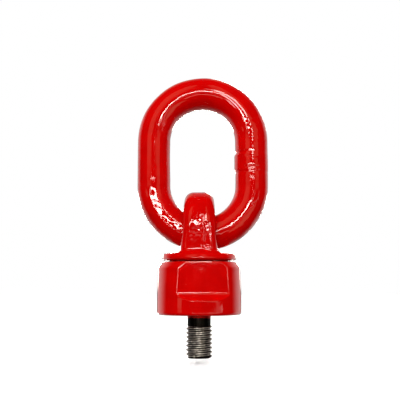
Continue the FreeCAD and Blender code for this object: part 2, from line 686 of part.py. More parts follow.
def make_weld(doc, bar, bend, middle):
    """Upset zone of the butt weld: two cones, base to base, round the bar."""
    ends = (bar, f"{bar} + Sizes.weld_bulge")
    cones = []
    for name, foot, start, finish in (
        ("WeldLower", f"{middle} - Sizes.weld_length / 2", *ends),
        ("WeldUpper", middle, *reversed(ends)),
    ):
        cone = doc.addObject("Part::Cone", name)
        bind(cone, Radius1=start, Radius2=finish, Height="Sizes.weld_length / 2")
        bind(cone, Placement__Base__z=foot)
        bind(cone, Placement__Base__x=f"Sizes.link_shift + {bend}")
        cones.append(cone)
    return cones


# ---------------------------------------------------------------- build


def check(doc, subparts):
    """Stop if any object failed, or any sub-part's shape is missing or not valid."""
    for thing in doc.Objects:
        if {"Invalid", "Error"} & set(thing.State):
            raise RuntimeError(f"{thing.Label} failed: {thing.State}")
    for thing in subparts:
        if thing.Shape.isNull() or not thing.Shape.isValid() or not thing.Shape.Solids:
            raise RuntimeError(f"{thing.Label} has no valid solid")


def main():
    """Build every sub-part and write one STEP file for each."""
    doc = FreeCAD.newDocument("SwivelHoistRing")
    sheet = fill_sheet(doc)
    subparts = [
        make_housing(doc, sheet),
        make_stud(doc, sheet),
        make_lock_pin(doc, sheet),
        make_ring(doc, "journal_bush", BUSH_BORE, BUSH_RADIUS, CEILING, HOUSING_TOP),
        make_race(
            doc,
            "upper_race",
            f"{JOURNAL_RADIUS} + Sizes.race_fit",
            UPPER_RACE_RADIUS,
            UPPER_RACE_FOOT,
            CEILING,
        ),
        make_dust_seal(doc),
        make_cage(doc, sheet),
        *make_balls(doc, sheet),
        make_eye(doc, sheet),
        make_race(
            doc,
            "lower_race",
            f"{STEM_RADIUS} + Sizes.running_gap",
            f"{UPPER_RACE_RADIUS} - Sizes.race_fit",
            NUT_TOP,
            LOWER_RACE_TOP,
        ),
        make_nut(doc, sheet),
        make_nut_pin(doc),
        make_link(doc),
    ]
    doc.recompute()
    check(doc, subparts)
    os.makedirs(PARTS_FOLDER, exist_ok=True)
    for thing in subparts:
        thing.Shape.exportStep(os.path.join(PARTS_FOLDER, thing.Label + ".step"))
        box = thing.Shape.BoundBox
        print(f"{thing.Label:16s} {thing.Shape.Volume:9.1f} mm3  z {box.ZMin:7.2f} {box.ZMax:7.2f}")


main()
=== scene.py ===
"""Looks of a swivel hoist ring: an enamelled link, a forged eye, a round housing and a threaded stud.

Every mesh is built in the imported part's own frame, in metres. Sizes in the classes are in
millimetres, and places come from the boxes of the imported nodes.
"""

import logging
import math
from dataclasses import dataclass, field
from enum import Enum

import bpy
import numpy as np
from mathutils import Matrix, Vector

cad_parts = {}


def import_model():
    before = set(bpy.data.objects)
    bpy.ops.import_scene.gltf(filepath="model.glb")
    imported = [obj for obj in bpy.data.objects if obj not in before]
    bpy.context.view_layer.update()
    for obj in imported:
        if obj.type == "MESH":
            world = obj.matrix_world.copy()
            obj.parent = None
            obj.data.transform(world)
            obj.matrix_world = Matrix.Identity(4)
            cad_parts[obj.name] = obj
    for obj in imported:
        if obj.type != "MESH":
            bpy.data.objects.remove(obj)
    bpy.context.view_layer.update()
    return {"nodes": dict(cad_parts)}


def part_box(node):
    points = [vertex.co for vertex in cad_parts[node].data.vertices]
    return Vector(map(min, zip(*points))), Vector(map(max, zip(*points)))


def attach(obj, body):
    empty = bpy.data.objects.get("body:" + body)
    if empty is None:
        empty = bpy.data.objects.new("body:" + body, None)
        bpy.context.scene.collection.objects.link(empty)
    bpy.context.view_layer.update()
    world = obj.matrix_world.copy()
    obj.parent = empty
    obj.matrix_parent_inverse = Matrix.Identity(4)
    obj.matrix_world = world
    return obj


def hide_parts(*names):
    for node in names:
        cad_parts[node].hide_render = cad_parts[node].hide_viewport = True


log = logging.getLogger("hoist_ring")

MM = 0.001

Colour = tuple[float, float, float]
Place = tuple[float, float, float]
Socket = bpy.types.NodeSocket
Grid = np.ndarray


class Shading(Enum):
    """How a mesh is shaded."""

    SMOOTH = "smooth"
    FLAT = "flat"


class Sheen(Enum):
    """How the enamel has flowed out, as (peel height in mm, peel scale per mm, roughness)."""

    FLOWED = (0.006, 0.40, 0.05)
    PEELED = (0.009, 0.50, 0.055)
    MACHINED = (0.002, 0.35, 0.05)


# ---- numbers


def smoothstep(low: float, high: float, value: Grid) -> Grid:
    """Ease from 0 at low to 1 at high."""
    t = np.clip((value - low) / (high - low), 0.0, 1.0)
    return t * t * (3.0 - 2.0 * t)


def bump_at(value: Grid, centre: float, half_width: float) -> Grid:
    """A bell of height 1 at centre."""
    return np.exp(-(((value - centre) / half_width) ** 2))


def plateau(value: Grid, low: float, high: float, edge: float) -> Grid:
    """1 between low and high, falling to 0 over edge on each side."""
    return smoothstep(low - edge, low + edge, value) * (1.0 - smoothstep(high - edge, high + edge, value))


def soft_min(a: Grid, b: Grid, blend: float) -> Grid:
    """The smaller of two values, rounded where they cross."""
    h = np.clip(0.5 + 0.5 * (b - a) / blend, 0.0, 1.0)
    return b + (a - b) * h - blend * h * (1.0 - h)


@dataclass
class Ripple:
    """Smooth random waves in space, the same each run.

    Args:
        length: wavelength in millimetres.
        seed: which pattern.
        waves: how many plane waves are added up.
    """

    length: float
    seed: int
    waves: int = 28

    def at(self, points: Grid) -> Grid:
        """Wave height at each point.

        Args:
            points: an (n, 3) array in millimetres.

        Returns:
            Heights with a spread of about 1.
        """
        rng = np.random.default_rng(self.seed)
        way = rng.normal(size=(self.waves, 3))
        way /= np.linalg.norm(way, axis=1)[:, None]
        way *= (2 * math.pi / self.length) * rng.uniform(0.6, 1.4, self.waves)[:, None]
        phase = rng.uniform(0, 2 * math.pi, self.waves)
        total = np.zeros(len(points))
        for direction, start in zip(way, phase):
            total += np.sin(points @ direction + start)
        return total * math.sqrt(2.0 / self.waves)


# ---- meshes


def grid_faces(rows: int, columns: int, loop_rows: bool) -> list[tuple[int, int, int, int]]:
    """Quads of a grid whose columns close on themselves.

    Args:
        rows: number of rings.
        columns: points in each ring.
        loop_rows: whether the last ring joins the first.

    Returns:
        One tuple of vertex numbers per quad.
    """
    faces = []
    for r in range(rows if loop_rows else rows - 1):
        low, high = r * columns, ((r + 1) % rows) * columns
        for c in range(columns):
            n = (c + 1) % columns
            faces.append((low + c, low + n, high + n, high + c))
    return faces


def add_object(name: str, data: object) -> bpy.types.Object:
    """Make an object and link it to the scene."""
    thing = bpy.data.objects.new(name, data)
    bpy.context.scene.collection.objects.link(thing)
    return thing


def round_axis(angle: Grid, radius: Grid | float, height: Grid | float) -> Grid:
    """Points round the Z axis, as an (n, 3) array."""
    places = np.broadcast_arrays(radius * np.cos(angle), radius * np.sin(angle), height)
    return np.stack(places, -1).reshape(-1, 3)


def new_mesh(name: str, points_mm: Grid, faces: list, shading: Shading) -> bpy.types.Object:
    """Make a mesh object from points in millimetres.

    Args:
        name: the object's name.
        points_mm: an (n, 3) array.
        faces: tuples of vertex numbers.
        shading: how its faces are shaded.

    Returns:
        The new object, linked to the scene.
    """
    mesh = bpy.data.meshes.new(name)
    mesh.from_pydata((np.asarray(points_mm) * MM).tolist(), [], faces)
    mesh.validate()
    mesh.polygons.foreach_set("use_smooth", [shading is Shading.SMOOTH] * len(mesh.polygons))
    mesh.update()
    return add_object(name, mesh)


def vectors_of(mesh: bpy.types.Mesh, what: str) -> Grid:
    """One vector per vertex: "co", in metres, or "normal"."""
    flat = np.zeros(len(mesh.vertices) * 3, np.float32)
    mesh.vertices.foreach_get(what, flat)
    return flat.reshape(-1, 3).astype(float)


def move_points(mesh: bpy.types.Mesh, points_mm: Grid) -> None:
    """Put the mesh's vertices at new places, in millimetres."""
    mesh.vertices.foreach_set("co", (points_mm * MM).astype(np.float32).ravel())
    mesh.update()


def edges_in_mm(node: str) -> tuple[Vector, Vector]:
    """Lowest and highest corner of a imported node, in millimetres."""
    low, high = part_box(node)
    return low / MM, high / MM


# ---- shader node groups


@dataclass
class NodeSheet:
    """A node tree with short calls for adding and joining nodes."""

    tree: bpy.types.NodeTree

    def add(self, kind: str, **values: object) -> bpy.types.Node:
        """Add a node and set its properties or unlinked inputs.

        Args:
            kind: the node's type name, without the ShaderNode prefix.
            **values: property names, or input names with underscores for spaces.

        Returns:
            The node.
        """
        node = self.tree.nodes.new("ShaderNode" + kind)
        for name, value in values.items():
            if hasattr(node, name):
                setattr(node, name, value)
            else:
                self.feed(node.inputs[name.replace("_", " ")], value)
        return node

    def feed(self, socket: Socket, value: object) -> None:
        """Link a socket into another, or set its value."""
        if isinstance(value, bpy.types.NodeSocket):
            self.tree.links.new(value, socket)
        elif isinstance(value, tuple) and len(value) == 3 and socket.type == "RGBA":
            socket.default_value = (*value, 1.0)
        else:
            socket.default_value = value

    def math(self, operation: str, a: object, b: object = 0.0, clamp: bool = False) -> Socket:
        """The result of a math node."""
        node = self.tree.nodes.new("ShaderNodeMath")
        node.operation, node.use_clamp = operation, clamp
        self.feed(node.inputs[0], a)
        self.feed(node.inputs[1], b)
        return node.outputs[0]

    def times(self, a: object, b: object) -> Socket:
        """The product of two values."""
        return self.math("MULTIPLY", a, b)

    def ramp(self, value: object, low: float, high: float, start: float = 0.0, end: float = 1.0) -> Socket:
        """A smooth step of a value, from start at low to end at high."""
        node = self.tree.nodes.new("ShaderNodeMapRange")
        node.interpolation_type = "SMOOTHSTEP"
        names = ("Value", "From Min", "From Max", "To Min", "To Max")
        for name, given in zip(names, (value, low, high, start, end)):
            self.feed(node.inputs[name], given)
        return node.outputs["Result"]

    def mix(self, factor: object, a: object, b: object, blend: str = "MIX") -> Socket:
        """A colour mix of two colours."""
        node = self.tree.nodes.new("ShaderNodeMix")
        node.data_type, node.blend_type = "RGBA", blend
        self.feed(node.inputs["Factor"], factor)
        self.feed(node.inputs[6], a)
        self.feed(node.inputs[7], b)
        return node.outputs[2]

    def radius(self, parts: bpy.types.Node) -> Socket:
        """Distance from the Z axis, from a place's separated parts."""
        square = self.times(parts.outputs[0], parts.outputs[0])
        square = self.math("ADD", square, self.times(parts.outputs[1], parts.outputs[1]))
        return self.math("SQRT", square)

    def noise(self, where: Socket, scale: object, detail: float = 2.0, rough: float = 0.5) -> Socket:
        """The height of a noise texture."""
        node = self.add("TexNoise", Vector=where, Detail=detail, Roughness=rough)
        self.feed(node.inputs["Scale"], scale)
        return node.outputs[0]


def start_group(name: str, inputs: dict[str, object], outputs: tuple[str, ...]) -> tuple:
    """Start a shader node group.

    Args:
        name: the group's name.
        inputs: input name to default: None for a vector, a tuple for a colour, else a number.
        outputs: output names, of which "Color" is a colour and the others are numbers.

    Returns:
        The group, its NodeSheet, the sockets of its inputs and those of its outputs.
    """
    group = bpy.data.node_groups.new(name, "ShaderNodeTree")
    kinds = {type(None): "Vector", tuple: "Color", float: "Float"}
    for label, default in inputs.items():
        kind = kinds[type(default)]
        socket = group.interface.new_socket(label, in_out="INPUT", socket_type="NodeSocket" + kind)
        if default is not None:
            socket.default_value = (*default, 1.0) if kind == "Color" else default
    for label in outputs:
        kind = "Color" if label == "Color" else "Float"
        group.interface.new_socket(label, in_out="OUTPUT", socket_type="NodeSocket" + kind)
    start, end = group.nodes.new("NodeGroupInput"), group.nodes.new("NodeGroupOutput")
    return group, NodeSheet(group), start.outputs, end.inputs


@dataclass
class Effects:
    """The node groups that several materials share, each built once."""

    groups: dict[str, bpy.types.NodeTree] = field(default_factory=dict)

    def build(self) -> None:
        """Build every group."""
        self.groups["peel"] = self._peel()
        self.groups["specks"] = self._specks()
        self.groups["grime"] = self._grime()
        self.groups["lathe"] = self._lathe()
        self.groups["panel"] = self._panel()

    def place(self, sheet: NodeSheet, name: str, **values: object) -> bpy.types.Node:
        """Put a group into a node tree and feed its inputs.

        Args:
            sheet: the tree it goes in.
            name: which group.
            **values: input names, with underscores for spaces.

        Returns:
            The group's node.
        """
        node = sheet.tree.nodes.new("ShaderNodeGroup")
        node.node_tree = self.groups[name]
        for label, value in values.items():
            sheet.feed(node.inputs[label.replace("_", " ")], value)
        return node

    def _peel(self) -> bpy.types.NodeTree:
        """Orange peel of a thick paint, and where it has wrinkled."""
        inputs = {"Vector": None, "Scale": 0.5, "Wrinkle": 0.5}
        group, s, given, out = start_group("paint_peel", inputs, ("Height", "Wrinkled"))
        where, scale = given["Vector"], given["Scale"]
        broad = s.noise(where, scale, 1.0)
        fine = s.noise(where, s.times(scale, 3.2), 1.5)
        patch = s.ramp(s.noise(where, s.times(scale, 0.33), 2.0), 0.50, 0.68)
        crease = s.add("TexVoronoi", feature="SMOOTH_F1", Vector=where, Smoothness=0.6)
        s.feed(crease.inputs["Scale"], s.times(scale, 2.6))
        wrinkled = s.times(patch, given["Wrinkle"])
        height = s.math("ADD", s.times(broad, 0.7), s.times(fine, 0.16))
        creases = s.times(s.times(crease.outputs[0], wrinkled), 0.9)
        s.feed(out["Height"], s.math("ADD", height, creases))
        s.feed(out["Wrinkled"], wrinkled)
        return group

    def _specks(self) -> bpy.types.NodeTree:
        """Dust specks and small chips in a finish."""
        inputs = {
            "Vector": None, "Color": (0.5, 0.0, 0.0), "Speck Color": (0.05, 0.01, 0.01),
            "Scale": 0.6, "Amount": 0.5,
        }
        group, s, given, out = start_group("dust_specks", inputs, ("Color", "Mask"))
        spots = s.add("TexVoronoi", feature="F1", Vector=given["Vector"])
        s.feed(spots.inputs["Scale"], given["Scale"])
        chance = s.add("SeparateColor", Color=spots.outputs["Color"])
        size = s.times(s.math("SUBTRACT", chance.outputs[0], 0.55), 0.16)
        inside = s.math("SUBTRACT", s.times(size, given["Amount"]), spots.outputs[0])
        mask = s.ramp(inside, -0.015, 0.015)
        mask = s.times(mask, s.ramp(chance.outputs[1], 0.45, 0.55))
        s.feed(out["Color"], s.mix(mask, given["Color"], given["Speck Color"]))
        s.feed(out["Mask"], mask)
        return group

    def _grime(self) -> bpy.types.NodeTree:
        """Oily, uneven staining over a metal."""
        inputs = {
            "Vector": None, "Color": (0.1, 0.08, 0.06), "Stain": (0.02, 0.015, 0.01),
            "Scale": 1.0, "Roughness": 0.35, "Amount": 0.6,
        }
        group, s, given, out = start_group("oil_grime", inputs, ("Color", "Roughness", "Mask"))
        where, scale = given["Vector"], given["Scale"]
        cloud = s.noise(where, scale, 5.0, 0.62)
        fine = s.noise(where, s.times(scale, 7.0), 3.0, 0.6)
        both = s.math("ADD", s.times(cloud, 0.7), s.times(fine, 0.3))
        mask = s.times(s.ramp(both, 0.40, 0.60), given["Amount"])
        s.feed(out["Color"], s.mix(mask, given["Color"], given["Stain"]))
        rough = s.math("ADD", given["Roughness"], s.times(mask, 0.22))
        s.feed(out["Roughness"], rough)
        s.feed(out["Mask"], mask)
        return group

    def _lathe(self) -> bpy.types.NodeTree:
        """Fine turning marks round the Z axis."""
        inputs = {"Vector": None, "Scale": 9.0}
        group, s, given, out = start_group("lathe_marks", inputs, ("Height",))
        parts = s.add("SeparateXYZ", Vector=given["Vector"])
        place = s.add("CombineXYZ", X=s.radius(parts), Y=parts.outputs[2], Z=0.0)
        s.feed(out["Height"], s.noise(place.outputs[0], given["Scale"], 4.0, 0.7))
        return group

    def _panel(self) -> bpy.types.NodeTree:
        """A soft-edged rectangle in the sky, in front of the object, for reflections."""
        inputs = {
            "Vector": None, "Across": 0.0, "Up": 0.5, "Half Width": 0.1, "Half Height": 0.3,
            "Edge": 0.03,
        }
        group, s, given, out = start_group("light_panel", inputs, ("Mask",))
        parts = s.add("SeparateXYZ", Vector=given["Vector"])
        depth = s.math("MAXIMUM", s.times(parts.outputs[1], -1.0), 0.001)
        front = s.ramp(parts.outputs[1], -0.06, -0.01, 1.0, 0.0)
        masks = [front]
        for axis, centre, half in ((0, "Across", "Half Width"), (2, "Up", "Half Height")):
            place = s.math("DIVIDE", parts.outputs[axis], depth)
            away = s.math("ABSOLUTE", s.math("SUBTRACT", place, given[centre]))
            inside = s.math("SUBTRACT", given[half], away)
            masks.append(s.math("DIVIDE", inside, given["Edge"], clamp=True))
        mask = s.times(s.times(masks[0], masks[1]), masks[2])
        s.feed(out["Mask"], mask)
        return group


# ---- finishes


@dataclass
class Bench:
    """One material being made: its tree, its shader and its place coordinate in millimetres."""

    material: bpy.types.Material
    sheet: NodeSheet
    shader: bpy.types.Node
    where: Socket

    @classmethod
    def open(cls, name: str) -> "Bench":
        """Start a material with a Principled shader."""
        material = bpy.data.materials.new(name)
        material.use_nodes = True
        sheet = NodeSheet(material.node_tree)
        shader = material.node_tree.nodes["Principled BSDF"]
        coordinates = sheet.add("TexCoord")
        scaled = sheet.add("VectorMath", operation="SCALE", Scale=1.0 / MM)
        sheet.feed(scaled.inputs[0], coordinates.outputs["Object"])
        return cls(material, sheet, shader, scaled.outputs[0])

    def set(self, name: str, value: object) -> None:
        """Feed or set one of the shader's inputs."""
        self.sheet.feed(self.shader.inputs[name], value)

    def effect(self, effects: Effects, name: str, **values: object) -> bpy.types.bpy_prop_collection:
        """Put a shared group in at the place coordinate and give its outputs."""
        return effects.place(self.sheet, name, Vector=self.where, **values).outputs

    def bump(self, height: Socket, depth_mm: float) -> None:
        """Feed the shader's normal from a height, with a depth in millimetres."""
        node = self.sheet.add("Bump", Strength=1.0, Distance=depth_mm * MM, Height=height)
        self.set("Normal", node.outputs[0])


@dataclass(frozen=True)
class Enamel:
    """Thick glossy enamel over steel.

    Args:
        name: the material's name.
        sheen: how the paint has flowed out.
        colour: the paint where it is thick.
        thin_colour: the paint where it is thin.
        speck_colour: dust specks in it.
        wrinkle: how much of it has wrinkled, 0 to 1.
        specks: how large and frequent the specks are, 0 to 1.
    """

    name: str
    sheen: Sheen
    colour: Colour = (0.63, 0.0005, 0.0003)
    thin_colour: Colour = (0.56, 0.0004, 0.0003)
    speck_colour: Colour = (0.06, 0.004, 0.004)
    wrinkle: float = 0.6
    specks: float = 0.6

    def make(self, effects: Effects) -> bpy.types.Material:
        """Build the material from the shared groups."""
        height, scale, roughness = self.sheen.value
        b = Bench.open(self.name)
        s = b.sheet
        peel = b.effect(effects, "peel", Scale=scale, Wrinkle=self.wrinkle)
        cloud = s.ramp(s.noise(b.where, 0.22, 3.0), 0.35, 0.70)
        paint = s.mix(cloud, self.colour, self.thin_colour)
        specks = b.effect(
            effects, "specks", Color=paint, Speck_Color=self.speck_colour, Scale=0.55, Amount=self.specks
        )
        b.set("Base Color", specks["Color"])
        rough = s.math("ADD", s.times(peel["Wrinkled"], 0.05), roughness)
        b.set("Roughness", s.math("ADD", rough, s.times(specks["Mask"], 0.3)))
        b.set("Specular IOR Level", 0.5)
        b.set("IOR", 1.52)
        b.bump(peel["Height"], height)
        return b.material


@dataclass(frozen=True)
class BlackenedSteel:
    """Blackened, oiled steel with bare metal where it is rubbed, and a painted glint of bare metal in a
    thread's roots.

    Args:
        name: the material's name.
        colour: the black finish.
        stain: the same under oil.
        bare: the metal that shows through on worn crests, also painted into the roots as a glint.
        spray: red overspray.
        spray_from: height in millimetres from which overspray covers it, or None.
        dark_from: height from which it is plain black, or None.
        crest: radius of a thread's crests, or None; with it come the worn crests and the painted root
            glint.
        root_depth: how deep the thread's roots lie under its crests, where the painted glint goes.
    """

    name: str
    colour: Colour = (0.018, 0.015, 0.012)
    stain: Colour = (0.006, 0.005, 0.004)
    bare: Colour = (0.70, 0.64, 0.57)
    spray: Colour = (0.42, 0.004, 0.003)
    spray_from: float | None = None
    dark_from: float | None = None
    crest: float | None = None
    root_depth: float = 0.63

    def make(self, effects: Effects) -> bpy.types.Material:
        """Build the material from the shared groups."""
        b = Bench.open(self.name)
        s = b.sheet
        grime = b.effect(
            effects, "grime", Color=self.colour, Stain=self.stain, Scale=0.8, Roughness=0.30, Amount=0.8
        )
        colour, rough = grime["Color"], grime["Roughness"]
        parts = s.add("SeparateXYZ", Vector=b.where)
        if self.crest is not None:
            radius = s.radius(parts)
            crest_wear_and_root_glint = s.ramp(radius, self.crest - 0.15, self.crest - 0.06)
            # Worn crests show bare metal. Painted highlight: a glint of bare metal is painted into the
            # thread's roots.
            root = self.crest - self.root_depth
            crest_wear_and_root_glint = s.math("MAXIMUM", crest_wear_and_root_glint, s.ramp(radius, root + 0.04, root, 0.0, 0.6))
            crest_wear_and_root_glint = s.times(crest_wear_and_root_glint, s.ramp(s.noise(b.where, 0.9, 3.0), 0.30, 0.52, 0.35, 1.0))
            colour = s.mix(s.times(crest_wear_and_root_glint, 0.9), colour, self.bare)
        if self.dark_from is not None:
            shade = s.ramp(parts.outputs[2], self.dark_from - 0.3, self.dark_from + 0.1)
            colour = s.mix(shade, colour, self.stain)
        if self.spray_from is not None:
            edge = s.math("ADD", parts.outputs[2], s.times(s.noise(b.where, 1.4, 3.0), 0.9))
            spray = s.ramp(edge, self.spray_from + 0.3, self.spray_from + 0.65)
            colour = s.mix(spray, colour, self.spray)
        b.set("Base Color", colour)
        b.set("Roughness", rough)
        b.set("Metallic", s.math("SUBTRACT", 0.9, s.times(grime["Mask"], 0.4)))
        b.set("Specular IOR Level", 0.4)
        b.set("Specular Tint", (0.25, 0.22, 0.20))
        b.bump(b.effect(effects, "lathe", Scale=7.0)["Height"], 0.02)
        return b.material


@dataclass(frozen=True)
class TurnedMetal:
    """Turned or ground bare metal with fine marks round the axis.

    Args:
        name: the material's name.
        colour: clean metal.
        stain: metal under grease.
        roughness: of the clean metal.
        marks_mm: depth of the turning marks.
    """

    name: str
    colour: Colour
    stain: Colour
    roughness: float
    marks_mm: float

    def make(self, effects: Effects) -> bpy.types.Material:
        """Build the material from the shared groups."""
        b = Bench.open(self.name)
        look = {"Color": self.colour, "Stain": self.stain, "Roughness": self.roughness}
        grime = b.effect(effects, "grime", Scale=0.6, Amount=0.45, **look)
        b.set("Base Color", grime["Color"])
        b.set("Roughness", grime["Roughness"])
        b.set("Metallic", 1.0)
        b.bump(b.effect(effects, "lathe", Scale=12.0)["Height"], self.marks_mm)
        return b.material


@dataclass(frozen=True)
class Rubber:
    """Matt seal rubber under red overspray, with a dusty bloom."""

    name: str
    colour: Colour = (0.11, 0.006, 0.005)
    bloom: Colour = (0.05, 0.048, 0.045)

    def make(self, effects: Effects) -> bpy.types.Material:
        """Build the material from the shared groups."""
        b = Bench.open(self.name)
        grime = b.effect(
            effects, "grime", Color=self.colour, Stain=self.bloom, Scale=1.2, Roughness=0.55, Amount=0.5
        )
        b.set("Base Color", grime["Color"])
        b.set("Roughness", grime["Roughness"])
        b.bump(b.sheet.noise(b.where, 6.0, 3.0), 0.01)
        return b.material


@dataclass(frozen=True)
class PaleFloor:
    """White floor that stays pale under the object."""

    name: str = "pale_floor"
    colour: Colour = (0.93, 0.93, 0.93)
    glow: float = 0.22

    def make(self) -> bpy.types.Material:
        """Build the material."""
        b = Bench.open(self.name)
        s = b.sheet
        cloud = s.ramp(s.noise(b.where, 0.02, 2.0), 0.3, 0.7)
        b.set("Base Color", s.mix(cloud, self.colour, tuple(0.985 * c for c in self.colour)))
        b.set("Roughness", 0.6)
        b.set("Specular IOR Level", 0.1)
        b.set("Emission Color", (1.0, 1.0, 1.0))
        b.set("Emission Strength", self.glow)
        return b.material


@dataclass
class Finishes:
    """Every material of the part, ready made."""

    effects: Effects
    made: dict[str, bpy.types.Material] = field(default_factory=dict)

    def build(self) -> None:
        """Make each material once."""
        for finish in (
            Enamel("enamel_link", Sheen.PEELED, wrinkle=0.9, specks=0.8),
            Enamel("enamel_eye", Sheen.FLOWED, wrinkle=0.5),
            Enamel("enamel_housing", Sheen.MACHINED, wrinkle=0.15, specks=0.5),
            BlackenedSteel("blackened_stud", spray_from=-0.9, dark_from=-3.1, crest=4.0),
            BlackenedSteel("blackened_nut"),
            TurnedMetal("ground_race", (0.56, 0.56, 0.58), (0.20, 0.17, 0.12), 0.22, 0.004),
            TurnedMetal("polished_ball", (0.74, 0.74, 0.76), (0.40, 0.36, 0.28), 0.07, 0.001),
            TurnedMetal("bronze", (0.62, 0.36, 0.14), (0.24, 0.13, 0.05), 0.30, 0.006),
            Rubber("seal_rubber"),
        ):
            self.made[finish.name] = finish.make(self.effects)

    def dress(self, thing: bpy.types.Object, name: str) -> None:
        """Put a finish on every slot of an object."""
        slots = thing.data.materials
        for i in range(len(slots)):
            slots[i] = self.made[name]
        if not slots:
            slots.append(self.made[name])


# ---- link


@dataclass
class OvalLink:
    """The welded link: a bar swept round an oval, under thick enamel."""

    bar_radius: float = 5.0
    inside_width: float = 20.0
    stations: int = 520
    around: int = 100
    leg_belly: float = 0.12
    bend_thinning: float = 0.07
    weld_half: float = 2.7
    weld_rise: float = 0.30
    weld_groove: float = 0.24
    weld_pad: float = 0.12
    sag: float = 0.05
    facet_half: float = 0.24
    facet_turn: float = 0.02
    facet_reach: float = 0.6

    def centre_line(self) -> tuple[Grid, Grid, Grid, Grid]:
        """Sample the oval.

        Returns:
            Points and outward normals in the link's plane, how much each point lies on a bend,
            and which points are on the right leg.
        """
        low, high = edges_in_mm("oval_link")
        bend = self.inside_width / 2 + self.bar_radius
        middle = low.x + bend + self.bar_radius
        foot = low.z + self.bar_radius + bend
        leg = (high.z - low.z) - 2 * (bend + self.bar_radius)
        total = 2 * leg + 2 * math.pi * bend
        s = np.linspace(0, total, self.stations, endpoint=False)
        x, z, nx, nz, curved = np.zeros((5, self.stations))
        arc = math.pi * bend
        right = s < leg
        crown = (s >= leg) & (s < leg + arc)
        left = (s >= leg + arc) & (s < 2 * leg + arc)
        base = s >= 2 * leg + arc
        x[right], z[right], nx[right] = bend, foot + s[right], 1.0
        a = (s[crown] - leg) / bend
        x[crown], z[crown] = bend * np.cos(a), foot + leg + bend * np.sin(a)
        nx[crown], nz[crown], curved[crown] = np.cos(a), np.sin(a), np.sin(a)
        x[left], z[left], nx[left] = -bend, foot + leg - (s[left] - leg - arc), -1.0
        a = math.pi + (s[base] - 2 * leg - arc) / bend
        x[base], z[base] = bend * np.cos(a), foot + bend * np.sin(a)
        nx[base], nz[base], curved[base] = np.cos(a), np.sin(a), np.abs(np.sin(a))
        belly = self.leg_belly * smoothstep(bend + 6, 0, np.abs(z - foot - leg / 2))
        x = x + nx * belly + middle
        self.weld_height = foot + leg / 2
        return np.stack([x, z], 1), np.stack([nx, nz], 1), curved, right

    def weld(self, side: Grid, height: Grid, turn: Grid) -> Grid:
        """Height of the weld's upset, groove and pad over the bar.

        Args:
            side: 1 on the right leg, else 0.
            height: distance above the weld's middle.
            turn: angle round the bar, 0 at the outside, positive towards the back.

        Returns:
            Added radius in millimetres.
        """
        inner = (0.5 - 0.5 * np.cos(turn)) ** 3
        upset = plateau(height, -self.weld_half, self.weld_half, 0.5) * self.weld_rise * (0.05 + inner)
        groove = -self.weld_groove * bump_at(height, self.weld_half + 0.3, 0.45) * (0.06 + inner)
        groove = groove - 0.05 * bump_at(height, -self.weld_half - 0.4, 0.6)
        front = np.degrees(turn)
        pad = plateau(height, -1.35, 1.15, 0.28) * plateau(front, -116.0, -68.0, 5.0)
        rear = plateau(height, -1.2, 1.3, 0.3) * plateau(front, 62.0, 112.0, 6.0)
        return side * (upset + groove + self.weld_pad * (pad + rear))

    def build(self) -> bpy.types.Object:
        """Build the link's mesh."""
        path, outward, curved, right = self.centre_line()
        turn = np.linspace(0, 2 * math.pi, self.around, endpoint=False)
        across, back = np.cos(turn)[None, :], np.sin(turn)[None, :]
        rows, columns = len(path), len(turn)
        centre = np.stack([path[:, 0], np.zeros(rows), path[:, 1]], 1)
        radial = np.stack([outward[:, 0], np.zeros(rows), outward[:, 1]], 1)
        depth = np.array([0.0, 1.0, 0.0])
        way = radial[:, None, :] * across[..., None] + depth * back[..., None]
        way = np.broadcast_to(way, (rows, columns, 3)).reshape(-1, 3)
        spot = np.repeat(centre, columns, 0)
        bare = spot + way * self.bar_radius
        angle = np.tile((turn + math.pi) % (2 * math.pi) - math.pi, rows)
        bent = np.repeat(curved, columns)
        radius = self.bar_radius - self.bend_thinning * bent * np.abs(np.cos(angle))
        height = bare[:, 2] - self.weld_height
        radius += self.weld(np.repeat(right, columns).astype(float), height, angle)
        radius += 0.030 * Ripple(12.0, 3).at(bare) + 0.006 * Ripple(3.6, 5).at(bare)
        rough = smoothstep(0.25, 1.1, Ripple(13.0, 17).at(bare))
        low_bend = smoothstep(-8, -20, height)
        rough = np.clip(rough + 0.8 * low_bend * smoothstep(-0.4, 0.6, Ripple(7.0, 29).at(bare)), 0, 1)
        radius += rough * 0.014 * Ripple(1.5, 7).at(bare)
        worn = smoothstep(-8, -12, height) * smoothstep(-3.0, -7.0, bare[:, 0])
        worn = worn * smoothstep(0.2, 0.8, -way[:, 1])
        away = np.clip(angle + math.pi / 2 - self.facet_turn, -self.facet_reach, self.facet_reach)
        facet = np.clip(1 - math.cos(self.facet_half) / np.cos(away), 0, None) * self.bar_radius
        radius += worn * (0.005 * Ripple(1.4, 71).at(bare) + 0.010 * Ripple(3.0, 73).at(bare) - facet)
        drips = (1 + Ripple(4.0, 13).at(bare)) / 2
        radius += self.sag * low_bend * smoothstep(0.2, 1.0, -way[:, 2]) * drips
        points = spot + way * radius[:, None]
        faces = grid_faces(rows, columns, True)
        return new_mesh("link_enamelled", points, [f[::-1] for f in faces], Shading.SMOOTH)

    def assemble(self, finishes: Finishes) -> None:
        """Build, dress and mount the link."""
        link = self.build()
        finishes.dress(link, "enamel_link")
        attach(link, "link")
        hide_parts("oval_link")
        log.info("oval link: %d faces", len(link.data.polygons))


# ---- eye


